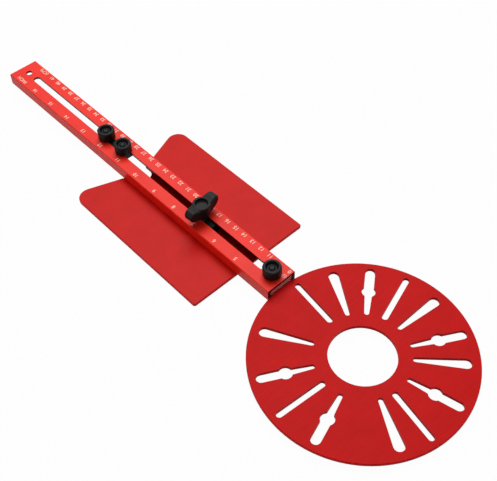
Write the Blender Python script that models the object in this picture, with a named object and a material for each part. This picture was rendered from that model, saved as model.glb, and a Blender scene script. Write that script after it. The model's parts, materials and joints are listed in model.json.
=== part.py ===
"""Router circle cutting jig: a slotted base disc, a graduated arm, a sliding pivot and a sliding fence plate.

Metres, +Z up. The origin is under the middle of the jig, on the surface that the fence plate rests on.
The arm runs along -X from the disc. Places along it are given as distances from the disc's centre.
"""

import math

import bmesh
import bpy
from mathutils import Vector

# Gaps and cuts
FIT_GAP = 0.0003
CUT_OVERRUN = 0.002
ROUND_STEPS = 48
SMALL_ROUND_STEPS = 32
ARC_STEPS = 8
SHARP_ANGLE = math.radians(30)

# Base disc
DISC_RADIUS = 0.086
DISC_THICKNESS = 0.003
DISC_EDGE_CHAMFER = 0.0004
DISC_STEPS = 112
CENTRE_HOLE_RADIUS = 0.026
SLOT_HUB_LAND = 0.0105
SLOT_RIM_LAND = 0.005
STRAIGHT_SLOT_WIDTH = 0.005
TAPER_RIM_LAND = 0.0066
TAPER_OUTER_RADIUS = 0.0043
TAPER_INNER_RADIUS = 0.002
KEYHOLE_BULGE_RADIUS = 0.0055
KEYHOLE_OUTER_WIDTH = 0.0077
KEYHOLE_NECK_WIDTH = 0.0055
KEYHOLE_TIP_WIDTH = 0.0038
STRAIGHT_SLOT_DEGREES = (172.3, 107.0, -11.0, -95.5)
TAPERED_SLOT_DEGREES = (150.0, 86.0, 40.9, -28.3, -149.6)
KEYHOLE_SLOT_DEGREES = (128.0, 59.8, 13.4, -72.2, -119.2)

# Arm channel
DISC_TO_ARM_LEGS = 0.0004
ARM_LENGTH = 0.3577
ARM_WIDTH = 0.0292
ARM_HEIGHT = 0.0107
ARM_WALL = 0.0022
ARM_EDGE_CHAMFER = 0.0005
ARM_SLOT_WIDTH = 0.0066
ARM_SLOT_NEAR_LAND = 0.0185
ARM_SLOT_FAR_LAND = 0.021
HANG_HOLE_RADIUS = 0.003
HANG_HOLE_LAND = 0.008
CLAMP_INSET = 0.0105

# Tongue of the disc inside the arm, and the spacer on it
TONGUE_INSIDE_ARM = 0.018
SPACER_RECESS = 0.0003
SPACER_SIDE_GAP = 0.0012
SPACER_BACK_LAND = 0.0005
SPACER_SCREW_LAND = 0.0007
SPACER_SCREW_END_LAND = 0.0008
TONGUE_NUT_RADIUS = 0.0036

# Small countersunk screws
SCREW_RADIUS = 0.0015
SCREW_HEAD_RADIUS = 0.0026
SCREW_SOCKET_RADIUS = 0.0012
SCREW_SOCKET_DEPTH = 0.0008
SCREW_SINK = 0.0002
SCREW_ROOF = 0.0012

# Round knobs with their studs and washers
KNOB_TOP_RADIUS = 0.0078
KNOB_BOTTOM_RADIUS = 0.0076
KNOB_HEIGHT = 0.0090
KNOB_EDGE_ROUND = 0.0011
KNOB_RECESS_RADIUS = 0.0052
KNOB_RECESS_DEPTH = 0.0025
KNOB_RECESS_DRAFT = 0.0011
KNOB_BOSS_RADIUS = 0.0022
KNOB_BOSS_HEIGHT = 0.0011
KNOB_FLUTES = 8
KNOB_FLUTE_DEPTH = 0.0004
STUD_RADIUS = 0.002
STUD_IN_KNOB = 0.0034
STUD_END_LIFT = 0.0006
STUD_TIP_CHAMFER = 0.0004
WASHER_RADIUS = 0.0052
WASHER_THICKNESS = 0.001

# Sliding pivot block
SLIDER_REST_INSET = 0.2111
SLIDER_LENGTH = 0.0325
SLIDER_HEIGHT = 0.005
SLIDER_EDGE_CHAMFER = 0.0006
KNOB_TO_PIN = 0.0120
INSERT_WALL = 0.0008
INSERT_ROOF = 0.0012
PIN_RADIUS = 0.0025
PIN_ROOF = 0.001
PIN_TIP_CHAMFER = 0.0007

# Fence plate
FENCE_THICKNESS = 0.003
FENCE_WIDTH = 0.1175
FENCE_EDGE_CHAMFER = 0.0004
FENCE_REST_INSET = 0.0930
FENCE_EDGE_TO_BOLT = 0.0567
FENCE_VERTEX_TO_BOLT = 0.0841
FENCE_SWEEP_ANGLE = math.radians(20.3)
FENCE_NEAR_CORNER_RADIUS = 0.002
FENCE_FAR_CORNER_RADIUS = 0.010
NOTCH_RADIUS = 0.0082
NOTCH_SETBACK = 0.0022

# Guide block and bolt that carry the fence plate on the arm
GUIDE_LENGTH = 0.026
GUIDE_EDGE_CHAMFER = 0.0005
GUIDE_SCREW_LAND = 0.0013
BOLT_RADIUS = 0.003
BOLT_HEAD_RADIUS = 0.00575
BOLT_SOCKET_RADIUS = 0.0021
BOLT_SOCKET_DEPTH = 0.0018
BOLT_SINK = 0.0002
BOLT_TIP_CHAMFER = 0.0005
FENCE_WASHER_RADIUS = 0.0051
FENCE_WASHER_THICKNESS = 0.001

# Wing knob
WING_KNOB_HEIGHT = 0.0150
WING_SPAN = 0.0330
WING_ROOT_THICKNESS = 0.0130
WING_TIP_THICKNESS = 0.0080
WING_EDGE_ROUND = 0.0017
WING_REST_TURN = math.radians(6)
HUB_BOTTOM_RADIUS = 0.0060
HUB_WAIST_RADIUS = 0.0066
HUB_TOP_RADIUS = 0.0078
HUB_HEIGHT = 0.0146
HUB_EDGE_ROUND = 0.0010
HUB_RECESS_RADIUS = 0.0054
HUB_RECESS_DEPTH = 0.0028
WING_INSERT_RADIUS = 0.0042
WING_INSERT_LENGTH = 0.0078
BOLT_PAST_INSERT = 0.0006
HUB_WAIST_SHARE = 0.45
# Half of the wings seen from the side, as shares of half the span and of the height
WING_PROFILE_SHARES = (
    (0.10, 0.18),
    (0.34, 0.21),
    (0.58, 0.27),
    (0.80, 0.36),
    (0.95, 0.50),
    (1.00, 0.70),
    (0.95, 0.90),
    (0.80, 1.00),
    (0.62, 0.99),
    (0.42, 0.94),
    (0.20, 0.92),
)

# Heights, from the surface up
ARM_BOTTOM = FENCE_THICKNESS + FIT_GAP
ARM_TOP = ARM_BOTTOM + ARM_HEIGHT
ARM_CEILING = ARM_TOP - ARM_WALL
DISC_BOTTOM = ARM_BOTTOM
DISC_TOP = DISC_BOTTOM + DISC_THICKNESS
BLOCK_TOP = ARM_CEILING - FIT_GAP
SLIDER_BOTTOM = BLOCK_TOP - SLIDER_HEIGHT
KEY_TOP = ARM_TOP - FIT_GAP
WASHER_BOTTOM = ARM_TOP + FIT_GAP
KNOB_SEAT = WASHER_BOTTOM + WASHER_THICKNESS + FIT_GAP
KNOB_BOTTOM = WASHER_BOTTOM + FIT_GAP
WING_BOTTOM = WASHER_BOTTOM + FENCE_WASHER_THICKNESS + FIT_GAP

# Countersunk fasteners: shank and head radius, socket radius and depth, chamfer at the tip
SCREW_SIZES = (SCREW_RADIUS, SCREW_HEAD_RADIUS, SCREW_SOCKET_RADIUS, SCREW_SOCKET_DEPTH, FIT_GAP)
BOLT_SIZES = (BOLT_RADIUS, BOLT_HEAD_RADIUS, BOLT_SOCKET_RADIUS, BOLT_SOCKET_DEPTH, BOLT_TIP_CHAMFER)

# Widths inside the channel and the slot
CHANNEL_WIDTH = ARM_WIDTH - ARM_WALL - ARM_WALL
BLOCK_WIDTH = CHANNEL_WIDTH - FIT_GAP - FIT_GAP
KEY_WIDTH = ARM_SLOT_WIDTH - FIT_GAP - FIT_GAP
SPACER_WIDTH = CHANNEL_WIDTH - SPACER_SIDE_GAP - SPACER_SIDE_GAP
SPACER_SCREW_Y = SPACER_WIDTH / 2 - SPACER_SCREW_LAND - SCREW_HEAD_RADIUS

# Distances from the disc's centre along the arm
DISC_AT_LEGS = math.sqrt(DISC_RADIUS ** 2 - (CHANNEL_WIDTH / 2) ** 2)
ARM_NEAR = DISC_AT_LEGS + DISC_TO_ARM_LEGS
ARM_FAR = ARM_NEAR + ARM_LENGTH
CLAMP_REACH = ARM_NEAR + CLAMP_INSET
TONGUE_REACH = ARM_NEAR + TONGUE_INSIDE_ARM
SPACER_SCREW_REACH = TONGUE_REACH - SPACER_SCREW_END_LAND - SCREW_HEAD_RADIUS
SLOT_NEAR_REACH = ARM_NEAR + ARM_SLOT_NEAR_LAND
SLOT_FAR_REACH = ARM_FAR - ARM_SLOT_FAR_LAND
HANG_HOLE_REACH = ARM_FAR - HANG_HOLE_LAND - HANG_HOLE_RADIUS
PIN_REACH = ARM_NEAR + SLIDER_REST_INSET
NEAR_KNOB_REACH = PIN_REACH - KNOB_TO_PIN
FAR_KNOB_REACH = PIN_REACH + KNOB_TO_PIN
BOLT_REACH = ARM_NEAR + FENCE_REST_INSET
DISC_X = (ARM_FAR - DISC_RADIUS) / 2


def along(reach):
    """The x of a place on the arm, from its distance to the disc's centre."""
    return DISC_X - reach


def clear_scene():
    for obj in list(bpy.data.objects):
        bpy.data.objects.remove(obj, do_unlink=True)


def make_material(name, colour, roughness, metallic):
    material = bpy.data.materials.new(name)
    material.use_nodes = True
    shader = material.node_tree.nodes["Principled BSDF"]
    shader.inputs["Base Color"].default_value = (*colour, 1.0)
    shader.inputs["Roughness"].default_value = roughness
    shader.inputs["Metallic"].default_value = metallic
    return material


def make_object(name, bm, material=None, x=0.0, parent=None):
    """Turns a bmesh into an object whose origin is at x on the arm's middle line."""
    bmesh.ops.recalc_face_normals(bm, faces=bm.faces)
    mesh = bpy.data.meshes.new(name)
    bm.to_mesh(mesh)
    bm.free()
    mesh.shade_smooth()
    mesh.set_sharp_from_angle(angle=SHARP_ANGLE)
    if material:
        mesh.materials.append(material)
    obj = bpy.data.objects.new(name, mesh)
    bpy.context.scene.collection.objects.link(obj)
    obj.location.x = x
    if parent:
        obj.parent = parent
        obj.location.x = x - parent.location.x
    return obj


def make_axis(name, x):
    """An empty on a joint's axis, which carries the pieces that move with it."""
    axis = bpy.data.objects.new(name, None)
    bpy.context.scene.collection.objects.link(axis)
    axis.location.x = x
    axis.empty_display_size = KNOB_HEIGHT
    return axis


def make_helper(name, bm, x=0.0, parent=None):
    helper = make_object(name, bm, x=x, parent=parent)
    helper.hide_render = True
    helper.display_type = "WIRE"
    return helper


def combine(obj, helper, operation="DIFFERENCE"):
    modifier = obj.modifiers.new(helper.name, "BOOLEAN")
    modifier.operation = operation
    modifier.solver = "EXACT"
    modifier.object = helper


def inset(outline, distance):
    """The outline, which runs anticlockwise, with each of its sides moved inwards."""
    count = len(outline)
    sides = []
    for i in range(count):
        step = Vector(outline[(i + 1) % count]) - Vector(outline[i])
        sides.append(Vector((-step.y, step.x)).normalized())
    moved = []
    for i, (x, y) in enumerate(outline):
        before = sides[i - 1]
        after = sides[i]
        shift = (before + after) * distance / (1 + before.dot(after))
        moved.append((x + shift.x, y + shift.y))
    return moved


def add_prism(bm, outline, low, high, edge=0.0, steps=1):
    """Adds an upright prism over an outline. Both rims are chamfered in one step, or rounded in several."""
    layers = [(low, 0.0), (high, 0.0)]
    if edge:
        turns = [math.pi / 2 * i / steps for i in range(steps + 1)]
        rim = [(edge * (1 - math.sin(turn)), edge * (1 - math.cos(turn))) for turn in turns]
        layers = [(low + rise, depth) for rise, depth in rim[::-1]]
        layers += [(high - rise, depth) for rise, depth in rim]
    rings = []
    for height, depth in layers:
        points = inset(outline, depth) if depth else outline
        rings.append([bm.verts.new((x, y, height)) for x, y in points])
    bm.faces.new(rings[0][::-1])
    bm.faces.new(rings[-1])
    count = len(outline)
    for lower, upper in zip(rings, rings[1:]):
        for i in range(count):
            j = (i + 1) % count
            bm.faces.new((lower[i], lower[j], upper[j], upper[i]))


def add_turned(bm, profile, steps, flutes=0, depths=None, closed=False, centre=(0.0, 0.0)):
    """Adds a solid turned about a vertical line. Its profile holds (radius, height), from the bottom up.

    A closed profile makes a ring. Flutes draw the surface in by each point's depth.
    """
    rings = []
    for i, (radius, height) in enumerate(profile):
        ring = []
        for k in range(steps):
            angle = math.tau * k / steps
            dip = depths[i] * (1 - math.cos(flutes * angle)) / 2 if depths else 0.0
            x = centre[0] + (radius - dip) * math.cos(angle)
            y = centre[1] + (radius - dip) * math.sin(angle)
            ring.append(bm.verts.new((x, y, height)))
        rings.append(ring)
    spans = list(zip(rings, rings[1:]))
    if closed:
        spans.append((rings[-1], rings[0]))
    else:
        bm.faces.new(rings[0][::-1])
        bm.faces.new(rings[-1])
    for lower, upper in spans:
        for k in range(steps):
            n = (k + 1) % steps
            bm.faces.new((lower[k], lower[n], upper[n], upper[k]))


def add_cylinder(bm, radius, low, high, steps=SMALL_ROUND_STEPS, centre=(0.0, 0.0)):
    add_turned(bm, [(radius, low), (radius, high)], steps, centre=centre)


def ring_profile(inner, outer, low, high):
    return [(inner, low), (outer, low), (outer, high), (inner, high)]


def arc(cx, cy, radius, start, end, steps=ARC_STEPS):
    """Points on an arc, angles in radians, both ends included."""
    angles = [start + (end - start) * i / steps for i in range(steps + 1)]
    return [(cx + radius * math.cos(a), cy + radius * math.sin(a)) for a in angles]


def rounded(corners, steps=ARC_STEPS):
    """An outline through corners given as (x, y, radius), with an arc in each corner that has a radius."""
    outline = []
    count = len(corners)
    for i, (x, y, radius) in enumerate(corners):
        here = Vector((x, y))
        if not radius:
            outline.append((x, y))
            continue
        back = (Vector(corners[i - 1][:2]) - here).normalized()
        ahead = (Vector(corners[(i + 1) % count][:2]) - here).normalized()
        half = back.angle(ahead) / 2
        centre = here + (back + ahead).normalized() * radius / math.sin(half)
        first = here + back * radius / math.tan(half) - centre
        last = here + ahead * radius / math.tan(half) - centre
        start = math.atan2(first.y, first.x)
        turn = (math.atan2(last.y, last.x) - start + math.pi) % math.tau - math.pi
        outline += arc(centre.x, centre.y, radius, start, start + turn, steps)
    return outline


def box_outline(x_low, x_high, width, radius=0.0):
    y = width / 2
    return rounded([(x_low, -y, radius), (x_high, -y, radius), (x_high, y, radius), (x_low, y, radius)])


def capsule(inner_x, inner_radius, outer_x, outer_radius):
    """A slot between two round ends, with straight sides that touch both."""
    lean = math.asin((outer_radius - inner_radius) / (outer_x - inner_x))
    quarter = math.pi / 2 + lean
    outline = arc(outer_x, 0.0, outer_radius, -quarter, quarter)
    return outline + arc(inner_x, 0.0, inner_radius, quarter, math.tau - quarter)


def keyhole(inner_apex, outer_apex):
    """A slot with a wide outer part, a round bulge in the middle and a narrowing inner part."""
    outer_radius = KEYHOLE_OUTER_WIDTH / 2
    tip_radius = KEYHOLE_TIP_WIDTH / 2
    middle = (inner_apex + outer_apex) / 2
    leave = math.asin(outer_radius / KEYHOLE_BULGE_RADIUS)
    meet = math.pi - math.asin(KEYHOLE_NECK_WIDTH / 2 / KEYHOLE_BULGE_RADIUS)
    outline = arc(outer_apex - outer_radius, 0.0, outer_radius, -math.pi / 2, math.pi / 2)
    outline += arc(middle, 0.0, KEYHOLE_BULGE_RADIUS, leave, meet)
    outline += arc(inner_apex + tip_radius, 0.0, tip_radius, math.pi / 2, 3 * math.pi / 2)
    outline += arc(middle, 0.0, KEYHOLE_BULGE_RADIUS, -meet, -leave)
    return outline


def turn_outline(outline, degrees):
    angle = math.radians(degrees)
    c = math.cos(angle)
    s = math.sin(angle)
    return [(x * c - y * s, x * s + y * c) for x, y in outline]


def sunk_profile(shank, head, low, high, grow=0.0):
    """The profile of a countersunk screw, head down, or of its hole when it is grown."""
    cone = head - shank
    return [(head + grow, low), (shank + grow, low + cone), (shank + grow, high)]


def add_sunk_hole(bm, shank, head, face, sink, high, centre=(0.0, 0.0)):
    """A cutter for a countersunk screw whose head lies a little above the face that it is sunk in."""
    profile = [(head + FIT_GAP, face - CUT_OVERRUN)]
    profile += sunk_profile(shank, head, face + sink, high, FIT_GAP)
    add_turned(bm, profile, SMALL_ROUND_STEPS, centre=centre)


def make_sunk_screw(name, material, place, sizes, low, high, parent=None):
    """A countersunk screw with its head down and a six-sided socket in it."""
    shank, head, socket_radius, socket_depth, chamfer = sizes
    bm = bmesh.new()
    profile = sunk_profile(shank, head, low, high - chamfer)
    profile.append((shank - chamfer, high))
    add_turned(bm, profile, SMALL_ROUND_STEPS)
    screw = make_object(name, bm, material, place[0], parent)
    cutter = bmesh.new()
    add_turned(cutter, [(socket_radius, low - CUT_OVERRUN), (socket_radius, low + socket_depth)], 6)
    socket = make_helper(name + "_socket", cutter, place[0], parent)
    screw.location.y = place[1]
    socket.location.y = place[1]
    combine(screw, socket)


def make_disc(paint):
    tongue_half = BLOCK_WIDTH / 2
    edge = math.asin(tongue_half / DISC_RADIUS)
    outline = arc(0.0, 0.0, DISC_RADIUS, edge - math.pi, math.pi - edge, DISC_STEPS)
    outline += [(-TONGUE_REACH, tongue_half), (-TONGUE_REACH, -tongue_half)]
    bm = bmesh.new()
    add_prism(bm, outline, DISC_BOTTOM, DISC_TOP, DISC_EDGE_CHAMFER)
    disc = make_object("base_disc", bm, paint, DISC_X)

    low = DISC_BOTTOM - CUT_OVERRUN
    high = DISC_TOP + CUT_OVERRUN
    inner = CENTRE_HOLE_RADIUS + SLOT_HUB_LAND
    outer = DISC_RADIUS - SLOT_RIM_LAND
    straight_radius = STRAIGHT_SLOT_WIDTH / 2
    straight = capsule(inner + straight_radius, straight_radius, outer - straight_radius, straight_radius)
    taper_outer_x = DISC_RADIUS - TAPER_RIM_LAND - TAPER_OUTER_RADIUS
    tapered = capsule(inner + TAPER_INNER_RADIUS, TAPER_INNER_RADIUS, taper_outer_x, TAPER_OUTER_RADIUS)
    families = (
        (straight, STRAIGHT_SLOT_DEGREES),
        (tapered, TAPERED_SLOT_DEGREES),
        (keyhole(inner, outer), KEYHOLE_SLOT_DEGREES),
    )
    cutter = bmesh.new()
    for shape, angles in families:
        for degrees in angles:
            add_prism(cutter, turn_outline(shape, degrees), low, high)
    add_cylinder(cutter, CENTRE_HOLE_RADIUS, low, high, ROUND_STEPS)
    add_cylinder(cutter, TONGUE_NUT_RADIUS + FIT_GAP, low, high, centre=(-CLAMP_REACH, 0.0))
    for side in (-1, 1):
        centre = (-SPACER_SCREW_REACH, side * SPACER_SCREW_Y)
        add_sunk_hole(cutter, SCREW_RADIUS, SCREW_HEAD_RADIUS, DISC_BOTTOM, SCREW_SINK, high, centre)
    combine(disc, make_helper("disc_cuts", cutter, DISC_X))


def make_tongue_fittings(bare, brass, steel):
    """The spacer that fills the channel above the tongue, its screws, and the nut under the clamp stud."""
    x = along(CLAMP_REACH)
    front = CLAMP_REACH - ARM_NEAR - SPACER_RECESS
    back = TONGUE_REACH - CLAMP_REACH - SPACER_BACK_LAND
    low = DISC_TOP + FIT_GAP
    screw_x = CLAMP_REACH - SPACER_SCREW_REACH
    centres = [(screw_x, -SPACER_SCREW_Y), (screw_x, SPACER_SCREW_Y)]
    bm = bmesh.new()
    add_prism(bm, box_outline(-back, front, SPACER_WIDTH), low, BLOCK_TOP)
    spacer = make_object("tongue_spacer", bm, bare, x)
    cutter = bmesh.new()
    add_cylinder(cutter, STUD_RADIUS + FIT_GAP, low - CUT_OVERRUN, BLOCK_TOP + CUT_OVERRUN)
    for centre in centres:
        add_cylinder(cutter, SCREW_RADIUS + FIT_GAP, low - CUT_OVERRUN, BLOCK_TOP - SCREW_ROOF, centre=centre)
    combine(spacer, make_helper("spacer_holes", cutter, x))

    head_low = DISC_BOTTOM + SCREW_SINK
    top = BLOCK_TOP - SCREW_ROOF - FIT_GAP
    for side, centre in zip(("right", "left"), centres):
        make_sunk_screw("spacer_screw_" + side, steel, (x + screw_x, centre[1]), SCREW_SIZES, head_low, top)

    bm = bmesh.new()
    profile = ring_profile(STUD_RADIUS + FIT_GAP, TONGUE_NUT_RADIUS, DISC_BOTTOM, DISC_TOP)
    add_turned(bm, profile, SMALL_ROUND_STEPS, closed=True)
    make_object("tongue_nut", bm, brass, x)


def make_arm(paint):
    """The channel: its cross-section is drawn in y and z, and pushed along x."""
    half = ARM_WIDTH / 2
    inner = CHANNEL_WIDTH / 2
    section = [
        (-half, ARM_BOTTOM),
        (-inner, ARM_BOTTOM),
        (-inner, ARM_CEILING),
        (inner, ARM_CEILING),
        (inner, ARM_BOTTOM),
        (half, ARM_BOTTOM),
        (half, ARM_TOP - ARM_EDGE_CHAMFER),
        (half - ARM_EDGE_CHAMFER, ARM_TOP),
        (ARM_EDGE_CHAMFER - half, ARM_TOP),
        (-half, ARM_TOP - ARM_EDGE_CHAMFER),
    ]
    x = along((ARM_NEAR + ARM_FAR) / 2)
    bm = bmesh.new()
    add_prism(bm, section, -ARM_LENGTH / 2, ARM_LENGTH / 2)
    for vert in bm.verts:
        vert.co = (vert.co.z, vert.co.x, vert.co.y)
    arm = make_object("arm_channel", bm, paint, x)

    low = ARM_CEILING - CUT_OVERRUN
    high = ARM_TOP + CUT_OVERRUN
    radius = ARM_SLOT_WIDTH / 2
    far = along(SLOT_FAR_REACH) - x
    near = along(SLOT_NEAR_REACH) - x
    cutter = bmesh.new()
    add_prism(cutter, capsule(far + radius, radius, near - radius, radius), low, high)
    add_cylinder(cutter, STUD_RADIUS + FIT_GAP, low, high, centre=(along(CLAMP_REACH) - x, 0.0))
    add_cylinder(cutter, HANG_HOLE_RADIUS, low, high, centre=(along(HANG_HOLE_REACH) - x, 0.0))
    combine(arm, make_helper("arm_cuts", cutter, x))


def make_round_knob(prefix, reach, plastic, steel, parent=None):
    """A fluted knob with a boss in its hollow top, its moulded-in stud, and the washer under it."""
    x = along(reach)
    axis = make_axis(prefix + "_axis", x)
    if parent:
        axis.parent = parent
        axis.location.x = x - parent.location.x

    def local(name, bm, material):
        obj = make_object(name, bm, material)
        obj.parent = axis
        return obj

    top = KNOB_BOTTOM + KNOB_HEIGHT
    shoulder = top - KNOB_EDGE_ROUND
    floor = top - KNOB_RECESS_DEPTH
    slant = KNOB_EDGE_ROUND * (1 - math.cos(math.pi / 4))
    profile = [
        (KNOB_BOTTOM_RADIUS - slant, KNOB_BOTTOM),
        (KNOB_BOTTOM_RADIUS, KNOB_BOTTOM + slant),
        (KNOB_TOP_RADIUS, shoulder),
        (KNOB_TOP_RADIUS - slant, top - slant),
        (KNOB_TOP_RADIUS - KNOB_EDGE_ROUND, top),
        (KNOB_RECESS_RADIUS, top),
        (KNOB_RECESS_RADIUS - KNOB_RECESS_DRAFT, floor),
        (KNOB_BOSS_RADIUS, floor),
        (KNOB_BOSS_RADIUS, floor + KNOB_BOSS_HEIGHT),
    ]
    flute = KNOB_FLUTE_DEPTH
    depths = [flute, flute, flute, flute, flute / 2, 0.0, 0.0, 0.0, 0.0]
    bm = bmesh.new()
    add_turned(bm, profile, ROUND_STEPS, KNOB_FLUTES, depths)
    knob = local(prefix + "_knob", bm, plastic)
    cutter = bmesh.new()
    profile = [
        (WASHER_RADIUS + FIT_GAP, KNOB_BOTTOM - CUT_OVERRUN),
        (WASHER_RADIUS + FIT_GAP, KNOB_SEAT),
        (STUD_RADIUS + FIT_GAP, KNOB_SEAT),
        (STUD_RADIUS + FIT_GAP, KNOB_SEAT + STUD_IN_KNOB + FIT_GAP),
    ]
    add_turned(cutter, profile, SMALL_ROUND_STEPS)
    bore = make_helper(prefix + "_knob_bore", cutter)
    bore.parent = axis
    combine(knob, bore)

    low = ARM_BOTTOM + STUD_END_LIFT
    bm = bmesh.new()
    profile = [
        (STUD_RADIUS - STUD_TIP_CHAMFER, low),
        (STUD_RADIUS, low + STUD_TIP_CHAMFER),
        (STUD_RADIUS, KNOB_SEAT + STUD_IN_KNOB),
    ]
    add_turned(bm, profile, SMALL_ROUND_STEPS)
    local(prefix + "_stud", bm, steel)

    bm = bmesh.new()
    washer = ring_profile(STUD_RADIUS + FIT_GAP, WASHER_RADIUS, WASHER_BOTTOM, WASHER_BOTTOM + WASHER_THICKNESS)
    add_turned(bm, washer, SMALL_ROUND_STEPS, closed=True)
    local(prefix + "_washer", bm, steel)


def make_slider(plastic, brass, steel, axis):
    """The block that slides in the channel with a key up in the slot, its inserts, and the pivot pin."""
    x = along(PIN_REACH)
    half = SLIDER_LENGTH / 2
    chamfer = SLIDER_EDGE_CHAMFER
    bm = bmesh.new()
    add_prism(bm, box_outline(-half, half, BLOCK_WIDTH), SLIDER_BOTTOM, BLOCK_TOP, chamfer)
    block = make_object("slide_block", bm, plastic, x, axis)
    key = bmesh.new()
    add_prism(key, box_outline(-half, half, KEY_WIDTH), BLOCK_TOP - chamfer - chamfer, KEY_TOP)
    combine(block, make_helper("slide_key", key, x, axis), "UNION")

    cutter = bmesh.new()
    insert_radius = STUD_RADIUS + FIT_GAP + INSERT_WALL
    insert_top = BLOCK_TOP - INSERT_ROOF
    low = SLIDER_BOTTOM - CUT_OVERRUN
    centres = [(-KNOB_TO_PIN, 0.0), (KNOB_TO_PIN, 0.0)]
    for centre in centres:
        profile = [
            (insert_radius + FIT_GAP, low),
            (insert_radius + FIT_GAP, insert_top + FIT_GAP),
            (STUD_RADIUS + FIT_GAP, insert_top + FIT_GAP),
            (STUD_RADIUS + FIT_GAP, KEY_TOP + CUT_OVERRUN),
        ]
        add_turned(cutter, profile, SMALL_ROUND_STEPS, centre=centre)
    add_cylinder(cutter, PIN_RADIUS + FIT_GAP, low, BLOCK_TOP - PIN_ROOF + FIT_GAP)
    combine(block, make_helper("slide_holes", cutter, x, axis))

    profile = ring_profile(STUD_RADIUS + FIT_GAP, insert_radius, SLIDER_BOTTOM, insert_top)
    for end, centre in zip(("far", "near"), centres):
        bm = bmesh.new()
        add_turned(bm, profile, SMALL_ROUND_STEPS, closed=True)
        make_object("block_insert_" + end, bm, brass, x + centre[0], axis)

    bm = bmesh.new()
    profile = [
        (PIN_RADIUS - PIN_TIP_CHAMFER, FIT_GAP),
        (PIN_RADIUS, FIT_GAP + PIN_TIP_CHAMFER),
        (PIN_RADIUS, BLOCK_TOP - PIN_ROOF),
    ]
    add_turned(bm, profile, SMALL_ROUND_STEPS)
    make_object("pivot_pin", bm, steel, x, axis)


def fence_outline():
    """The plate seen from above, about its bolt: a straight edge at +x, and a hollow V with a U notch at -x."""
    half = FENCE_WIDTH / 2
    slope = math.tan(FENCE_SWEEP_ANGLE)
    near = FENCE_EDGE_TO_BOLT
    vertex = -FENCE_VERTEX_TO_BOLT
    far = vertex - half * slope
    mouth = vertex - NOTCH_RADIUS * slope
    quarter = math.pi / 2
    notch = [(mouth, NOTCH_RADIUS)]
    notch += arc(vertex + NOTCH_SETBACK, 0.0, NOTCH_RADIUS, quarter, -quarter, 2 * ARC_STEPS)
    notch.append((mouth, -NOTCH_RADIUS))
    corners = [
        (far, -half, FENCE_FAR_CORNER_RADIUS),
        (near, -half, FENCE_NEAR_CORNER_RADIUS),
        (near, half, FENCE_NEAR_CORNER_RADIUS),
        (far, half, FENCE_FAR_CORNER_RADIUS),
    ]
    corners += [(x, y, 0.0) for x, y in notch]
    return rounded(corners)


def make_fence(paint, plastic, steel, axis):
    """The plate, the block that guides it in the channel, and the countersunk fasteners from below."""
    x = along(BOLT_REACH)
    half = GUIDE_LENGTH / 2
    guide_low = FENCE_THICKNESS + FIT_GAP
    screw_x = BOLT_HEAD_RADIUS + GUIDE_SCREW_LAND + SCREW_HEAD_RADIUS
    centres = [(-screw_x, 0.0), (screw_x, 0.0)]
    screw_top = BLOCK_TOP - SCREW_ROOF

    bm = bmesh.new()
    add_prism(bm, fence_outline(), 0.0, FENCE_THICKNESS, FENCE_EDGE_CHAMFER)
    plate = make_object("fence_plate", bm, paint, x, axis)
    cutter = bmesh.new()
    high = FENCE_THICKNESS + CUT_OVERRUN
    add_sunk_hole(cutter, BOLT_RADIUS, BOLT_HEAD_RADIUS, 0.0, BOLT_SINK, high)
    combine(plate, make_helper("fence_bolt_hole", cutter, x, axis))
    cutter = bmesh.new()
    for centre in centres:
        add_sunk_hole(cutter, SCREW_RADIUS, SCREW_HEAD_RADIUS, 0.0, SCREW_SINK, high, centre)
    combine(plate, make_helper("fence_screw_holes", cutter, x, axis))

    bm = bmesh.new()
    add_prism(bm, box_outline(-half, half, BLOCK_WIDTH), guide_low, BLOCK_TOP, GUIDE_EDGE_CHAMFER)
    guide = make_object("fence_guide_block", bm, plastic, x, axis)
    cutter = bmesh.new()
    add_cylinder(cutter, BOLT_RADIUS + FIT_GAP, guide_low - CUT_OVERRUN, BLOCK_TOP + CUT_OVERRUN)
    for centre in centres:
        add_cylinder(cutter, SCREW_RADIUS + FIT_GAP, guide_low - CUT_OVERRUN, screw_top, centre=centre)
    combine(guide, make_helper("guide_holes", cutter, x, axis))

    top = screw_top - FIT_GAP
    for end, centre in zip(("far", "near"), centres):
        make_sunk_screw("guide_screw_" + end, steel, (x + centre[0], 0.0), SCREW_SIZES, SCREW_SINK, top, axis)
    top = WING_BOTTOM + WING_INSERT_LENGTH + BOLT_PAST_INSERT
    make_sunk_screw("fence_bolt", steel, (x, 0.0), BOLT_SIZES, BOLT_SINK, top, axis)

    bm = bmesh.new()
    high = WASHER_BOTTOM + FENCE_WASHER_THICKNESS
    profile = ring_profile(BOLT_RADIUS + FIT_GAP, FENCE_WASHER_RADIUS, WASHER_BOTTOM, high)
    add_turned(bm, profile, SMALL_ROUND_STEPS, closed=True)
    make_object("fence_washer", bm, steel, x, axis)


def smooth_loop(points, steps):
    """A closed smooth curve through the points, with some steps between each two of them."""
    count = len(points)
    curve = []
    for i in range(count):
        p0, p1, p2, p3 = (Vector(points[(i + k) % count]) for k in (-1, 0, 1, 2))
        for s in range(steps):
            t = s / steps
            first = 2 * p1 + (p2 - p0) * t
            second = (2 * p0 - 5 * p1 + 4 * p2 - p3) * t * t
            third = (3 * p1 - p0 - 3 * p2 + p3) * t * t * t
            point = (first + second + third) / 2
            curve.append((point.x, point.y))
    return curve


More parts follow.
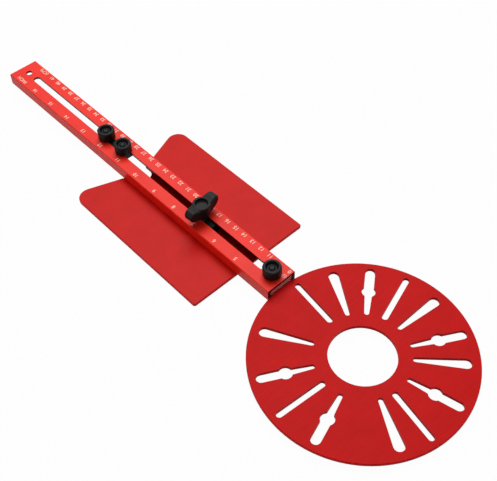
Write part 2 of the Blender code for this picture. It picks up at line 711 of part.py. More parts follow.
def make_wing_knob(plastic, brass, axis):
    """A hub with a round hollow in its top, and two wings across the arm that thin out to their tips."""
    x = along(BOLT_REACH)
    half = WING_SPAN / 2
    right = [(half * a, WING_BOTTOM + WING_KNOB_HEIGHT * b) for a, b in WING_PROFILE_SHARES]
    left = [(-a, b) for a, b in right[::-1]]
    bm = bmesh.new()
    across = WING_ROOT_THICKNESS / 2
    thinning = 1 - WING_TIP_THICKNESS / WING_ROOT_THICKNESS
    add_prism(bm, smooth_loop(right + left, 3), -across, across, WING_EDGE_ROUND, 3)
    for vert in bm.verts:
        side, height, depth = vert.co
        vert.co = (depth * (1 - thinning * abs(side) / half), side, height)
    knob = make_object("wing_knob", bm, plastic, x, axis)
    knob.rotation_euler.z = WING_REST_TURN

    top = WING_BOTTOM + HUB_HEIGHT
    slant = HUB_EDGE_ROUND * (1 - math.cos(math.pi / 4))
    profile = [
        (HUB_BOTTOM_RADIUS, WING_BOTTOM),
        (HUB_WAIST_RADIUS, WING_BOTTOM + HUB_HEIGHT * HUB_WAIST_SHARE),
        (HUB_TOP_RADIUS, top - HUB_EDGE_ROUND),
        (HUB_TOP_RADIUS - slant, top - slant),
        (HUB_TOP_RADIUS - HUB_EDGE_ROUND, top),
    ]
    hub = bmesh.new()
    add_turned(hub, profile, ROUND_STEPS)
    combine(knob, make_helper("wing_hub", hub, x, axis), "UNION")

    cutter = bmesh.new()
    insert_top = WING_BOTTOM + WING_INSERT_LENGTH
    profile = [
        (WING_INSERT_RADIUS + FIT_GAP, WING_BOTTOM - CUT_OVERRUN),
        (WING_INSERT_RADIUS + FIT_GAP, insert_top + FIT_GAP),
        (BOLT_RADIUS + FIT_GAP, insert_top + FIT_GAP),
        (BOLT_RADIUS + FIT_GAP, insert_top + BOLT_PAST_INSERT + FIT_GAP),
    ]
    add_turned(cutter, profile, SMALL_ROUND_STEPS)
    add_cylinder(cutter, HUB_RECESS_RADIUS, top - HUB_RECESS_DEPTH, top + HUB_HEIGHT)
    combine(knob, make_helper("wing_holes", cutter, x, axis))

    bm = bmesh.new()
    profile = ring_profile(BOLT_RADIUS + FIT_GAP, WING_INSERT_RADIUS, WING_BOTTOM, insert_top)
    add_turned(bm, profile, SMALL_ROUND_STEPS, closed=True)
    make_object("wing_insert", bm, brass, x, axis)


def main():
    clear_scene()
    disc_paint = make_material("disc_red", (0.42, 0.010, 0.012), 0.38, 0.5)
    arm_paint = make_material("arm_red", (0.55, 0.014, 0.012), 0.36, 0.5)
    fence_paint = make_material("fence_red", (0.42, 0.012, 0.010), 0.40, 0.5)
    plastic = make_material("black_plastic", (0.018, 0.018, 0.019), 0.42, 0.0)
    bare = make_material("bare_aluminium", (0.62, 0.60, 0.58), 0.35, 1.0)
    steel = make_material("plated_steel", (0.60, 0.60, 0.60), 0.30, 1.0)
    brass = make_material("brass", (0.62, 0.45, 0.18), 0.32, 1.0)

    make_disc(disc_paint)
    make_tongue_fittings(bare, brass, steel)
    make_arm(arm_paint)
    make_round_knob("clamp", CLAMP_REACH, plastic, steel)

    slider_axis = make_axis("slider_axis", along(PIN_REACH))
    make_slider(plastic, brass, steel, slider_axis)
    make_round_knob("near", NEAR_KNOB_REACH, plastic, steel, slider_axis)
    make_round_knob("far", FAR_KNOB_REACH, plastic, steel, slider_axis)

    fence_axis = make_axis("fence_axis", along(BOLT_REACH))
    make_fence(fence_paint, plastic, steel, fence_axis)
    make_wing_knob(plastic, brass, fence_axis)


main()
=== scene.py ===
"""Looks of the router circle cutting jig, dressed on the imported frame. Metres, in the frame's own axes."""

import json
import math

import bmesh
import bpy
from mathutils import Matrix, Vector

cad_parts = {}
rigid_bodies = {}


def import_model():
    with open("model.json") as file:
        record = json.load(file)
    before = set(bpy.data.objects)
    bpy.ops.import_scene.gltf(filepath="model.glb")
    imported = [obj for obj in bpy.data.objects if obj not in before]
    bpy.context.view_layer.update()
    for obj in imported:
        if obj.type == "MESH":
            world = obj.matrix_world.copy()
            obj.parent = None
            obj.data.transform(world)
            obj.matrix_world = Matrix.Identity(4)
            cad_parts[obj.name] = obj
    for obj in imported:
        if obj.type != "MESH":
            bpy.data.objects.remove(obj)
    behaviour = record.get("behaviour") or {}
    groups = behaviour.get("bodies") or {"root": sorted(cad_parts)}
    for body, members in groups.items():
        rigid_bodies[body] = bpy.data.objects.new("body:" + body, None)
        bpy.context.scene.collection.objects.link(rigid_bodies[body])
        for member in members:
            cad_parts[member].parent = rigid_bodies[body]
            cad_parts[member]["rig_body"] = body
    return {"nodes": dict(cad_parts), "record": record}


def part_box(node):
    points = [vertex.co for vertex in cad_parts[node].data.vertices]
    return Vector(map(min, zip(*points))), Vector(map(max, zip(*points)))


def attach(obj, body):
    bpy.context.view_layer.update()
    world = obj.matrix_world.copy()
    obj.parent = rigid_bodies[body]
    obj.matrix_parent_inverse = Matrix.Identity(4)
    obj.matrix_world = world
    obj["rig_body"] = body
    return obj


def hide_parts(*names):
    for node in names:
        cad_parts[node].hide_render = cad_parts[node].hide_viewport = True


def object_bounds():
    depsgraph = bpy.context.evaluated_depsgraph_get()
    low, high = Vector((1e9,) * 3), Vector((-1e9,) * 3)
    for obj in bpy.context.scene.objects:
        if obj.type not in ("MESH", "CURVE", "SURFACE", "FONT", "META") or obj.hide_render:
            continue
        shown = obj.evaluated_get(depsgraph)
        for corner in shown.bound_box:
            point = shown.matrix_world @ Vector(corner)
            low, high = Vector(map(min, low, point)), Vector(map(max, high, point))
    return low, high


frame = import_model()
CAD_LOW, CAD_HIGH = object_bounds()
DISC_LOW, DISC_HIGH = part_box("base_disc")
DISC_RADIUS = (DISC_HIGH.y - DISC_LOW.y) / 2

# Photograph and camera, with the sensor in millimetres
IMAGE_WIDTH = 497
FOCAL_PIXELS = 884.6
SENSOR_WIDTH = 36.0
CAMERA_AZIMUTH = math.radians(48.54)
CAMERA_ELEVATION = math.radians(50.45)
CAMERA_ROLL = math.radians(-1.87)
CAMERA_DISTANCE = 0.7246
CAMERA_TARGET = Vector((0.03856, 0.01553, 0.0033))

# Floor, lamps and world
WHITE = (1.0, 1.0, 1.0, 1.0)
FLOOR_SIZE = 12.0
FLOOR_DROP = 0.0003
FLOOR_GREY = 0.62
FLOOR_GLOW_SHARE = 0.97
WORLD_LIGHT = 0.29
KEY_WATTS = 79.0
KEY_SIZE = 2.2
KEY_DISTANCE = 3.0
KEY_AZIMUTH = math.radians(228)
KEY_ELEVATION = math.radians(62)
FILL_WATTS = 0.6
FILL_SIZE = 0.5
FILL_DISTANCE = 1.2
FILL_AZIMUTH = math.radians(-35)
FILL_ELEVATION = math.radians(40)

# Easing of the CAD's own shapes
WELD_DISTANCE = 0.000002
FLAT_ANGLE = math.radians(0.5)
SHARP_ANGLE = math.radians(24)
SHEET_EDGE = 0.00018
FITTING_EDGE = 0.00012
EDGE_STEPS = 2
EDGE_PROFILE = 0.5
NORMAL_WEIGHT = 100

# Round knobs
KNOB_STEPS = 128
KNOB_FLUTES = 8
KNOB_FLUTE_DEPTH = 0.00022
KNOB_TAPER = 0.0002
KNOB_EDGE_ROUND = 0.0005
KNOB_RECESS_RADIUS = 0.0052
KNOB_RECESS_DEPTH = 0.0025
KNOB_RECESS_DRAFT = 0.0011
KNOB_RIM_WIDTH = 0.0017
KNOB_RIM_DROP = 0.0014
KNOB_BOSS_RADIUS = 0.0022
KNOB_BOSS_HEIGHT = 0.0011
KNOB_BOSS_ROUND = 0.0005
ROUND_STEPS = 6

# Wing knob
WING_VOXEL = 0.00028
WING_SMOOTHING_ROUNDS = 6
WING_SMOOTHING_SHARE = 0.5

# Printed scales, measured from the middle of the base disc
CENTIMETRE = 0.01
INCH = 0.0254
CM_ROW_Y = 0.01134
INCH_ROW_Y = -0.01048
CM_NUMBERS = range(11, 42)
INCH_NUMBERS = range(5, 17)
DIGIT_HEIGHT = 0.0034
DIGIT_HEIGHT_SHARE = 0.70
DIGIT_BOLDNESS = 0.00008
DIGIT_PITCH = 1.06
DIGIT_CURVE_STEPS = 5
PRINT_PROUD = 0.00004
PRINT_DEPTH = 0.00008
CM_UNIT_REACH = 0.4232
INCH_UNIT_REACH = 0.4280
ZERO_REACH = 0.0880
CENTRE_MARK_Y = 0.00513
RING_RADIUS = 0.0019
RING_WIDTH = 0.00045
RING_STEPS = 32
DOT_RADIUS = 0.0007

# Colours, in the linear values that shaders use
ARM_RED = (0.880, 0.022, 0.008)
ARM_DEEP_RED = (0.760, 0.014, 0.005)
DISC_RED = (0.555, 0.002, 0.0015)
DISC_DEEP_RED = (0.495, 0.0015, 0.001)
FENCE_RED = (0.580, 0.005, 0.002)
FENCE_DEEP_RED = (0.520, 0.004, 0.0015)
# Lighter red along sharp edges in patches: partly rubbed wear, partly a painted edge highlight
RUBBED_RED_AND_EDGE_HIGHLIGHT = (0.620, 0.050, 0.040)
# Painted shade: deep red for the inside of the arm's channel and slot and its sawn near end
PAINTED_CHANNEL_SHADE_RED = (0.060, 0.002, 0.002)
PLASTIC_BLACK = (0.0030, 0.0034, 0.0031)
PLASTIC_GREY = (0.0075, 0.0085, 0.0078)
PLASTIC_WORN = (0.026, 0.029, 0.026)
PRINT_WHITE = (0.95, 0.62, 0.50)
PRINT_WORN = (0.92, 0.36, 0.27)
STEEL_LIGHT = (0.66, 0.66, 0.65)
STEEL_DARK = (0.46, 0.46, 0.47)
BRASS_LIGHT = (0.66, 0.50, 0.23)
BRASS_DARK = (0.46, 0.32, 0.12)
ALUMINIUM_LIGHT = (0.62, 0.60, 0.58)
ALUMINIUM_DARK = (0.40, 0.38, 0.37)

# What all finishes share. A span is the stretch of a noise, or of another value, that makes a difference
FINE_DETAIL = 2.0
SOFT_DETAIL = 3.0
PATCHY_DETAIL = 4.0
NOISE_ROUGHNESS = 0.55
GRAIN_SPAN = (0.30, 0.70)
RELIEF_STRENGTH = 0.6
EDGE_SAMPLES = 6
EDGE_SPAN = (0.995, 0.90)

# Anodised finish
CLOUD_SIZE = 0.018
CLOUD_SPAN = (0.30, 0.70)
BLAST_SIZE = 0.00035
BLAST_SPAN = (0.35, 0.80)
BLAST_SHARE = 0.22
DRAWN_SIZE = 0.0006
DRAWN_DEPTH = 0.000012
# Rubbed edges, lighter in patches: partly wear, partly a painted edge highlight
ANODISED_RUB_HIGHLIGHT_WIDTH = 0.0004
ANODISED_RUB_HIGHLIGHT_SIZE = 0.0022
ANODISED_RUB_HIGHLIGHT_SPAN = (0.38, 0.62)
ANODISED_RUB_HIGHLIGHT_SHARE = 0.55
ANODISED_SUM_SPAN = (0.6, 1.4)
ANODISED_ROUGHNESS = (0.36, 0.50)
ARM_LINES = (60.0, 1.0, 1.0)
DISC_LINES = (1.0, 30.0, 1.0)
FENCE_LINES = (30.0, 1.0, 1.0)
ARM_SPECULAR = 0.18
DISC_SPECULAR = 0.06
FENCE_SPECULAR = 0.095

# Painted shade inside the arm's channel and slot and on its sawn near end
CHANNEL_WALL = 0.0022
SHADE_BELOW_TOP = 0.0004
SHADE_BLUR = 0.0001

# Moulded plastic
BLOOM_SIZE = 0.004
BLOOM_SPAN = (0.35, 0.70)
SPARK_SIZE = 0.00028
SPARK_DEPTH = 0.00003
PLASTIC_RUB_WIDTH = 0.0005
PLASTIC_RUB_SIZE = 0.0016
PLASTIC_RUB_SPAN = (0.40, 0.65)
PLASTIC_RUB_SHARE = 0.6
PLASTIC_ROUGHNESS = (0.34, 0.52)
PLASTIC_SPECULAR = 0.12

# Bare and plated metal
TOOL_LINE_SIZE = 0.0003
TOOL_LINE_DEPTH = 0.00001
STAIN_SIZE = 0.003
STAIN_SPAN = (0.30, 0.72)
BRIGHT_EDGE_WIDTH = 0.0003
BRIGHT_EDGE_SHARE = 0.5
PLATED_ROUGHNESS = (0.24, 0.42)
SAWN_ROUGHNESS = (0.40, 0.60)
STEEL_LINES = (1.0, 1.0, 6.0)
BRASS_LINES = (1.0, 1.0, 0.3)
SAWN_LINES = (1.0, 20.0, 0.6)

# Etched marks
ETCH_SIZE = 0.0009
ETCH_DEPTH = 0.00001
ETCH_WEAR_SPAN = (0.50, 0.75)
ETCH_WEAR_SHARE = 0.5
ETCH_ROUGHNESS = (0.55, 0.75)
ETCH_SPECULAR = 0.3


class Graph:
    """The nodes of a material or world. Adding a node also links the sockets that are given as its inputs."""

    def __init__(self, owner):
        self.owner = owner
        owner.use_nodes = True
        self.tree = owner.node_tree
        self.tree.nodes.clear()

    def add(self, kind, inputs=None, output=0, **settings):
        """Adds a node and gives one of its outputs, by number or name."""
        node = self.tree.nodes.new("ShaderNode" + kind)
        for key, value in settings.items():
            setattr(node, key, value)
        for key, value in (inputs or {}).items():
            if isinstance(value, bpy.types.NodeSocket):
                self.tree.links.new(value, node.inputs[key])
            else:
                node.inputs[key].default_value = value
        return node.outputs[output] if node.outputs else node

    def mix(self, factor, first, second):
        """A colour between two, which a Mix node takes at its inputs 6 and 7 and gives at its output 2."""
        first, second = (c if isinstance(c, bpy.types.NodeSocket) else (*c, 1.0) for c in (first, second))
        return self.add("Mix", {0: factor, 6: first, 7: second}, 2, data_type="RGBA")

    def span(self, value, taken, given=(0.0, 1.0)):
        """Stretches the span of values that is taken over the span that is given, and clamps the rest."""
        inputs = {"Value": value, "From Min": taken[0], "From Max": taken[1]}
        return self.add("MapRange", {**inputs, "To Min": given[0], "To Max": given[1]})

    def product(self, first, second):
        return self.add("Math", {0: first, 1: second}, operation="MULTIPLY")

    def greater(self, first, second):
        return self.add("Math", {0: first, 1: second}, operation="MAXIMUM")

    def noise(self, size, detail=FINE_DETAIL, stretch=(1.0, 1.0, 1.0)):
        """Noise whose grains are about this size in metres, longer along an axis whose stretch is above 1."""
        point = self.add("TexCoord", output="Object")
        scale = [1.0 / (size * s) for s in stretch]
        scaled = self.add("Mapping", {"Vector": point, "Scale": scale})
        inputs = {"Vector": scaled, "Scale": 1.0, "Detail": detail, "Roughness": NOISE_ROUGHNESS}
        return self.add("TexNoise", inputs)

    def edges(self, width):
        """Near 1 along sharp edges and 0 on flat faces."""
        rounded = self.add("Bevel", {"Radius": width}, samples=EDGE_SAMPLES)
        plain = self.add("NewGeometry", output="Normal")
        likeness = self.add("VectorMath", {0: rounded, 1: plain}, "Value", operation="DOT_PRODUCT")
        return self.span(likeness, EDGE_SPAN)

    def rubbed(self, width, patch_size, patch_span, share):
        """Up to this share, in patches along sharp edges, and 0 elsewhere."""
        patches = self.span(self.noise(patch_size, PATCHY_DETAIL), patch_span)
        return self.product(self.product(self.edges(width), patches), share)

    def channel_shade(self):
        """A mask for painted shade: 1 inside the arm's channel and slot and on the sawn near end, and 0 on
        the arm's outside.
        """
        low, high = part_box("arm_channel")
        point = self.add("TexCoord", output="Object")
        x, y, z = (self.add("SeparateXYZ", {0: point}, axis) for axis in "XYZ")
        half = high.y - CHANNEL_WALL
        inward = self.span(self.add("Math", {0: y}, operation="ABSOLUTE"), (half + SHADE_BLUR, half))
        below = self.span(z, (high.z - SHADE_BELOW_TOP, high.z - SHADE_BELOW_TOP - SHADE_BLUR))
        sawn = self.span(x, (high.x - SHADE_BLUR, high.x))
        return self.greater(self.product(inward, below), sawn)

    def seen_rays(self):
        """1 for rays from the camera, off gloss and through glass, and 0 for those that light the jig."""
        kinds = ("Is Camera Ray", "Is Glossy Ray", "Is Transmission Ray")
        camera, glossy, through = (self.add("LightPath", output=kind) for kind in kinds)
        return self.greater(self.greater(camera, glossy), through)

    def finish(self, colour, roughness, height, depth, metallic=0.0, specular=0.5):
        """The surface itself, with a relief of this depth, and the material that is then whole."""
        bump = self.add("Bump", {"Height": height, "Strength": RELIEF_STRENGTH, "Distance": depth})
        surface = self.add("BsdfPrincipled", {
            "Base Color": colour,
            "Roughness": roughness,
            "Metallic": metallic,
            "Specular IOR Level": specular,
            "Normal": bump,
        })
        self.add("OutputMaterial", {"Surface": surface})
        return self.owner


def anodised(name, light, deep, stretch, specular, channel=False):
    """Satin anodised aluminium: cloudy dye, fine blasted grain, faint drawn lines and rubbed edges that are
    partly a painted edge highlight, with painted shade inside the arm's channel where asked.
    """
    g = Graph(bpy.data.materials.new(name))
    clouds = g.noise(CLOUD_SIZE, SOFT_DETAIL)
    grain = g.noise(BLAST_SIZE)
    lines = g.noise(DRAWN_SIZE, stretch=stretch)
    dye = g.mix(g.span(clouds, CLOUD_SPAN), deep, light)
    dye = g.mix(g.span(grain, BLAST_SPAN, (0.0, BLAST_SHARE)), dye, light)
    # Lighter red in patches along sharp edges: partly rubbed wear, partly a painted edge highlight.
    rubbed = g.rubbed(ANODISED_RUB_HIGHLIGHT_WIDTH, ANODISED_RUB_HIGHLIGHT_SIZE, ANODISED_RUB_HIGHLIGHT_SPAN, ANODISED_RUB_HIGHLIGHT_SHARE)
    colour = g.mix(rubbed, dye, RUBBED_RED_AND_EDGE_HIGHLIGHT)
    # Painted shade: the inside of the channel and slot and the sawn near end are made deep red.
    if channel:
        colour = g.mix(g.channel_shade(), colour, PAINTED_CHANNEL_SHADE_RED)
    both = g.add("Math", {0: grain, 1: lines}, operation="ADD")
    rough = g.span(both, ANODISED_SUM_SPAN, ANODISED_ROUGHNESS)
    return g.finish(colour, rough, lines, DRAWN_DEPTH, specular=specular)


def moulded(name):
    """Black moulded nylon: a spark-eroded grain, grey bloom on open faces and lighter rubbed edges."""
    g = Graph(bpy.data.materials.new(name))
    bloom = g.noise(BLOOM_SIZE, SOFT_DETAIL)
    grain = g.noise(SPARK_SIZE, SOFT_DETAIL)
    colour = g.mix(g.span(bloom, BLOOM_SPAN), PLASTIC_BLACK, PLASTIC_GREY)
    rubbed = g.rubbed(PLASTIC_RUB_WIDTH, PLASTIC_RUB_SIZE, PLASTIC_RUB_SPAN, PLASTIC_RUB_SHARE)
    colour = g.mix(rubbed, colour, PLASTIC_WORN)
    rough = g.span(grain, GRAIN_SPAN, PLASTIC_ROUGHNESS)
    return g.finish(colour, rough, grain, SPARK_DEPTH, specular=PLASTIC_SPECULAR)


def bright_metal(name, light, dark, stretch, roughness=PLATED_ROUGHNESS):
    """Bare or plated metal with the fine lines of turning, sawing or drawing."""
    g = Graph(bpy.data.materials.new(name))
    lines = g.noise(TOOL_LINE_SIZE, SOFT_DETAIL, stretch)
    stains = g.noise(STAIN_SIZE, SOFT_DETAIL)
    colour = g.mix(g.span(stains, STAIN_SPAN), dark, light)
    colour = g.mix(g.product(g.edges(BRIGHT_EDGE_WIDTH), BRIGHT_EDGE_SHARE), colour, light)
    rough = g.span(lines, GRAIN_SPAN, roughness)
    return g.finish(colour, rough, lines, TOOL_LINE_DEPTH, metallic=1.0)


def printed(name):
    """Pale marks etched through the red, a little uneven."""
    g = Graph(bpy.data.materials.new(name))
    wear = g.noise(ETCH_SIZE, PATCHY_DETAIL)
    colour = g.mix(g.span(wear, ETCH_WEAR_SPAN, (0.0, ETCH_WEAR_SHARE)), PRINT_WHITE, PRINT_WORN)
    rough = g.span(wear, GRAIN_SPAN, ETCH_ROUGHNESS)
    return g.finish(colour, rough, wear, ETCH_DEPTH, specular=ETCH_SPECULAR)


def body_of(node):
    return frame["nodes"][node]["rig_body"]


def slot_of(node):
    return next(p["material_slot"] for p in frame["record"]["subparts"] if p["node"] == node)


def place(name, data):
    """Adds an object with this data to the scene."""
    thing = bpy.data.objects.new(name, data)
    bpy.context.scene.collection.objects.link(thing)
    return thing


def mesh_from(bm, name):
    """The mesh of a bmesh, which is then freed."""
    mesh = bpy.data.meshes.new(name)
    bm.to_mesh(mesh)
    bm.free()
    return mesh


def link(name, mesh, material, body, replaces=(), soften=True):
    """Makes a piece that rides on a body, takes a material slot and stands for CAD nodes."""
    mesh.materials.clear()
    mesh.materials.append(material)
    mesh.polygons.foreach_set("use_smooth", [True] * len(mesh.polygons))
    piece = place(name, mesh)
    if soften:
        modifier = piece.modifiers.new("weighted_normals", "WEIGHTED_NORMAL")
        modifier.keep_sharp = True
        modifier.weight = NORMAL_WEIGHT
    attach(piece, body)
    if replaces:
        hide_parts(*replaces)
    return piece


def eased(node, name, material, edge):
    """Stands for a CAD node with the same shape, its flat faces whole and its sharp edges eased."""
    bm = bmesh.new()
    bm.from_mesh(frame["nodes"][node].data)
    bmesh.ops.remove_doubles(bm, verts=bm.verts, dist=WELD_DISTANCE)
    bmesh.ops.dissolve_limit(bm, angle_limit=FLAT_ANGLE, verts=bm.verts, edges=bm.edges)
    sharp = [e for e in bm.edges if len(e.link_faces) == 2 and e.calc_face_angle(0.0) > SHARP_ANGLE]
    shape = {"segments": EDGE_STEPS, "profile": EDGE_PROFILE, "affect": "EDGES", "clamp_overlap": True}
    bmesh.ops.bevel(bm, geom=sharp, offset=edge, **shape)
    link(name, mesh_from(bm, name), material, body_of(node), [node])


def arc(centre, radius, start, end):
    """Points in (r, z) on an arc, angles in degrees from +r towards +z."""
    turns = [math.radians(start + (end - start) * i / ROUND_STEPS) for i in range(ROUND_STEPS + 1)]
    return [(centre[0] + radius * math.cos(t), centre[1] + radius * math.sin(t)) for t in turns]


def bridge(bm, first, second):
    """Faces between two rings of as many points, which face out where the first ring is the lower one."""
    for i in range(len(first)):
        j = (i + 1) % len(first)
        bm.faces.new((first[i], first[j], second[j], second[i]))


def add_fluted(bm, profile, centre):
    """Turns a profile of (r, z, flute depth) points about an upright axis, and closes its two ends."""
    rings = []
    for radius, height, depth in profile:
        ring = []
        for i in range(KNOB_STEPS):
            turn = math.tau * i / KNOB_STEPS
            dip = depth * (0.5 - 0.5 * math.cos(KNOB_FLUTES * turn))
            reach = radius - dip
            point = (centre.x + reach * math.cos(turn), centre.y + reach * math.sin(turn), height)
            ring.append(bm.verts.new(point))
        rings.append(ring)
    for low, high in zip(rings, rings[1:]):
        bridge(bm, low, high)
    bm.faces.new(rings[0][::-1])
    bm.faces.new(rings[-1])


def make_round_knob(prefix, material):
    """A fluted knob with a rounded rim and a ring-shaped hollow round a boss in its top."""
    node = prefix + "_knob"
    low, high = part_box(node)
    washer_low, washer_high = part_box(prefix + "_washer")
    stud_low, stud_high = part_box(prefix + "_stud")
    centre = (low + high) / 2
    radius = (high.x - low.x) / 2
    gap = washer_low.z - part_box("arm_channel")[1].z
    hollow = (washer_high.x - washer_low.x) / 2 + gap
    bore = (stud_high.x - stud_low.x) / 2 + gap
    floor = high.z - KNOB_RECESS_DEPTH
    inner = KNOB_RECESS_RADIUS - KNOB_RECESS_DRAFT
    flute = KNOB_FLUTE_DEPTH
    bottom = radius - KNOB_TAPER
    soft = KNOB_EDGE_ROUND

    profile = [(bore, stud_high.z, 0.0), (bore, washer_high.z + gap, 0.0)]
    profile += [(hollow, washer_high.z + gap, 0.0), (hollow, low.z, 0.0)]
    skirt = arc((bottom - soft, low.z + soft), soft, -90, 0)
    profile += [(r, z, flute) for r, z in skirt]
    # The rim is a quarter of an ellipse, along which the flutes fade out
    for i, (across, up) in enumerate(arc((0.0, 0.0), 1.0, 0, 90)):
        reach = radius - KNOB_RIM_WIDTH * (1 - across)
        profile.append((reach, high.z - KNOB_RIM_DROP * (1 - up), flute * (1 - i / ROUND_STEPS)))
    lip = arc((KNOB_RECESS_RADIUS + soft, high.z - soft), soft, 90, 180)
    profile += [(r, z, 0.0) for r, z in lip]
    toe = arc((inner - soft, floor + soft), soft, 0, -90)
    profile += [(r, z, 0.0) for r, z in toe]
    boss_top = floor + KNOB_BOSS_HEIGHT
    profile.append((KNOB_BOSS_RADIUS + KNOB_BOSS_ROUND, floor, 0.0))
    boss = arc((KNOB_BOSS_RADIUS - KNOB_BOSS_ROUND, boss_top - KNOB_BOSS_ROUND), KNOB_BOSS_ROUND, 0, 90)
    profile += [(r, z, 0.0) for r, z in boss]
    bm = bmesh.new()
    add_fluted(bm, profile, centre)
    name = prefix + "_fluted_knob"
    link(name, mesh_from(bm, name), material, body_of(node), [node])


def make_wing_knob(material):
    """The wing knob's own form with the hub and wings run together by soft moulded fillets."""
    node = "wing_knob"
    mesh = frame["nodes"][node].data.copy()
    piece = link("wing_knob_moulded", mesh, material, body_of(node), [node], soften=False)
    remesh = piece.modifiers.new("even_mesh", "REMESH")
    remesh.mode = "VOXEL"
    remesh.voxel_size = WING_VOXEL
    remesh.use_smooth_shade = True
    smooth = piece.modifiers.new("fillets", "SMOOTH")
    smooth.factor = WING_SMOOTHING_SHARE
    smooth.iterations = WING_SMOOTHING_ROUNDS


def text_shape(words):
    """A thin mesh of plain lettering, centred on the origin."""
    curve = bpy.data.curves.new("lettering", "FONT")
    curve.body = words
    curve.align_x = "CENTER"
    curve.align_y = "CENTER"
    curve.size = DIGIT_HEIGHT / DIGIT_HEIGHT_SHARE
    curve.space_character = DIGIT_PITCH
    curve.offset = DIGIT_BOLDNESS
    curve.extrude = PRINT_DEPTH
    curve.resolution_u = DIGIT_CURVE_STEPS
    holder = place("lettering", curve)
    bpy.context.view_layer.update()
    mesh = bpy.data.meshes.new_from_object(holder.evaluated_get(bpy.context.evaluated_depsgraph_get()))
    bpy.data.objects.remove(holder)
    bpy.data.curves.remove(curve)
    return mesh


def add_words(bm, words, x, y, z):
    """Lettering on the arm, read by someone who stands on the +y side."""
    mesh = text_shape(words)
    mesh.transform(Matrix.Translation((x, y, z)) @ Matrix.Rotation(math.pi, 4, "Z"))
    bm.from_mesh(mesh)
    bpy.data.meshes.remove(mesh)


def add_ring(bm, x, y, low, high, outer, inner):
    """A flat printed ring, or a dot where the inner radius is zero."""
    turns = [math.tau * i / RING_STEPS for i in range(RING_STEPS)]
    radii = (outer, inner) if inner else (outer,)
    rings = []
    for height in (low, high):
        for radius in radii:
            points = [(x + radius * math.cos(t), y + radius * math.sin(t), height) for t in turns]
            rings.append([bm.verts.new(point) for point in points])
    if inner:
        pairs = [(rings[0], rings[2]), (rings[2], rings[3]), (rings[3], rings[1]), (rings[1], rings[0])]
    else:
        bm.faces.new(rings[0][::-1])
        bm.faces.new(rings[1])
        pairs = [(rings[0], rings[1])]
    for first, second in pairs:
        bridge(bm, first, second)


def make_scales(material):
    """Centimetre and inch numbers along the arm, their unit marks, and the zero and centre marks."""
    middle = DISC_HIGH.x - DISC_RADIUS
    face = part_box("arm_channel")[1].z + PRINT_PROUD
    centre_z = face - PRINT_DEPTH
    rows = (
        ("cm_scale", CM_NUMBERS, CENTIMETRE, CM_ROW_Y, "(CM)", CM_UNIT_REACH),
        ("inch_scale", INCH_NUMBERS, INCH, INCH_ROW_Y, "INCH", INCH_UNIT_REACH),
    )
    for name, numbers, step, y, unit, unit_reach in rows:
        bm = bmesh.new()
        for number in numbers:
            add_words(bm, str(number), middle - number * step, y, centre_z)
        add_words(bm, unit, middle - unit_reach, y, centre_z)
        link(name, mesh_from(bm, name), material, "jig_frame", soften=False)
    name = "zero_and_centre_marks"
    x = middle - ZERO_REACH
    back = face - 2 * PRINT_DEPTH
    bm = bmesh.new()
    add_words(bm, "0", x, CM_ROW_Y, centre_z)
    add_ring(bm, x, CENTRE_MARK_Y, back, face, RING_RADIUS, RING_RADIUS - RING_WIDTH)
    add_ring(bm, x, CENTRE_MARK_Y, back, face, DOT_RADIUS, 0.0)
    link(name, mesh_from(bm, name), material, "jig_frame", soften=False)


def make_floor():
    """A plain pale floor that shows white and keeps a soft shadow."""
    g = Graph(bpy.data.materials.new("floor"))
    plain = g.add("BsdfDiffuse", {"Color": (FLOOR_GREY, FLOOR_GREY, FLOOR_GREY, 1.0)})
    glow = g.add("Emission", {"Color": WHITE, "Strength": 1.0})
    share = g.product(g.seen_rays(), FLOOR_GLOW_SHARE)
    g.add("OutputMaterial", {"Surface": g.add("MixShader", {0: share, 1: plain, 2: glow})})

    bm = bmesh.new()
    half = FLOOR_SIZE / 2
    corners = ((-half, -half), (half, -half), (half, half), (-half, half))
    bm.faces.new([bm.verts.new((x, y, CAD_LOW.z - FLOOR_DROP)) for x, y in corners])
    mesh = mesh_from(bm, "floor")
    mesh.materials.append(g.owner)
    place("floor", mesh)


def make_world():
    """Even light from all round, which the camera and mirrors see as white."""
    g = Graph(bpy.data.worlds.new("studio"))
    light = g.add("Background", {"Color": WHITE, "Strength": WORLD_LIGHT})
    shown = g.add("Background", {"Color": WHITE, "Strength": 1.0})
    g.add("OutputWorld", {"Surface": g.add("MixShader", {0: g.seen_rays(), 1: light, 2: shown})})
    bpy.context.scene.world = g.owner


def direction(azimuth, elevation):
    """A unit vector away from the jig. Azimuth 0 is the -y side and 90 degrees is +x."""
    return Vector((
        math.sin(azimuth) * math.cos(elevation),
        -math.cos(azimuth) * math.cos(elevation),
        math.sin(elevation),
    ))


def make_lamp(name, watts, size, distance, azimuth, elevation):
    """A soft square lamp that looks at the frame's origin, which is in the middle of the jig."""
    lamp = bpy.data.lights.new(name, "AREA")
    lamp.energy = watts
    lamp.shape = "SQUARE"
    lamp.size = size
    away = direction(azimuth, elevation)
    holder = place(name, lamp)
    holder.location = away * distance
    holder.rotation_euler = (-away).to_track_quat("-Z", "Y").to_euler()


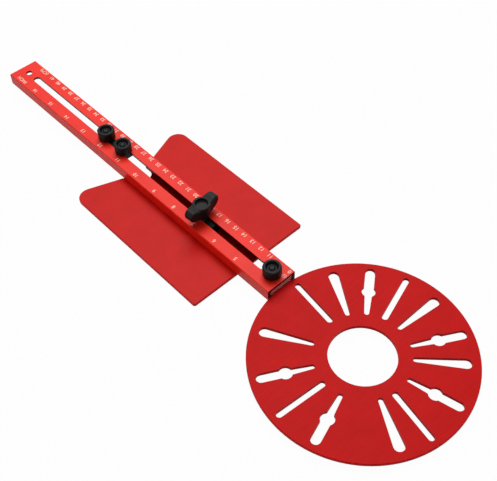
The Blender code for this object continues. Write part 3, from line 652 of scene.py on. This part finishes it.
def make_camera():
    """The photograph's own view."""
    back = direction(CAMERA_AZIMUTH, CAMERA_ELEVATION)
    level = Vector((0.0, 0.0, 1.0)).cross(back).normalized()
    upright = back.cross(level)
    right = math.cos(CAMERA_ROLL) * level + math.sin(CAMERA_ROLL) * upright
    up = math.cos(CAMERA_ROLL) * upright - math.sin(CAMERA_ROLL) * level
    lens = bpy.data.cameras.new("camera")
    lens.sensor_width = SENSOR_WIDTH
    lens.lens = SENSOR_WIDTH * FOCAL_PIXELS / IMAGE_WIDTH
    camera = place("camera", lens)
    turn = Matrix((right, up, back)).transposed().to_4x4()
    camera.matrix_world = Matrix.Translation(CAMERA_TARGET + back * CAMERA_DISTANCE) @ turn
    bpy.context.scene.camera = camera


# The arm's finish also paints shade inside its channel and slot and on its sawn near end.
arm_finish = anodised("arm_anodised", ARM_RED, ARM_DEEP_RED, ARM_LINES, ARM_SPECULAR, channel=True)
disc_finish = anodised("disc_anodised", DISC_RED, DISC_DEEP_RED, DISC_LINES, DISC_SPECULAR)
fence_finish = anodised("fence_anodised", FENCE_RED, FENCE_DEEP_RED, FENCE_LINES, FENCE_SPECULAR)
plastic = moulded("black_nylon")
steel = bright_metal("plated_steel_finish", STEEL_LIGHT, STEEL_DARK, STEEL_LINES)
brass = bright_metal("brass_finish", BRASS_LIGHT, BRASS_DARK, BRASS_LINES)
aluminium = bright_metal("sawn_aluminium", ALUMINIUM_LIGHT, ALUMINIUM_DARK, SAWN_LINES, SAWN_ROUGHNESS)
marks = printed("etched_marks")

eased("arm_channel", "arm_channel_eased", arm_finish, SHEET_EDGE)
eased("base_disc", "base_disc_eased", disc_finish, SHEET_EDGE)
eased("fence_plate", "fence_plate_eased", fence_finish, SHEET_EDGE)
eased("tongue_spacer", "tongue_spacer_eased", aluminium, FITTING_EDGE)
for node in ("slide_block", "fence_guide_block"):
    eased(node, node + "_eased", plastic, FITTING_EDGE)
finishes = {"plated_steel": steel, "brass": brass}
for node in sorted(frame["nodes"]):
    if slot_of(node) in finishes:
        data = frame["nodes"][node].data
        data.materials.clear()
        data.materials.append(finishes[slot_of(node)])
for prefix in ("clamp", "near", "far"):
    make_round_knob(prefix, plastic)
make_wing_knob(plastic)
make_scales(marks)

make_floor()
make_world()
make_lamp("key", KEY_WATTS, KEY_SIZE, KEY_DISTANCE, KEY_AZIMUTH, KEY_ELEVATION)
make_lamp("fill", FILL_WATTS, FILL_SIZE, FILL_DISTANCE, FILL_AZIMUTH, FILL_ELEVATION)
make_camera()
bpy.context.scene.view_settings.view_transform = "Standard"
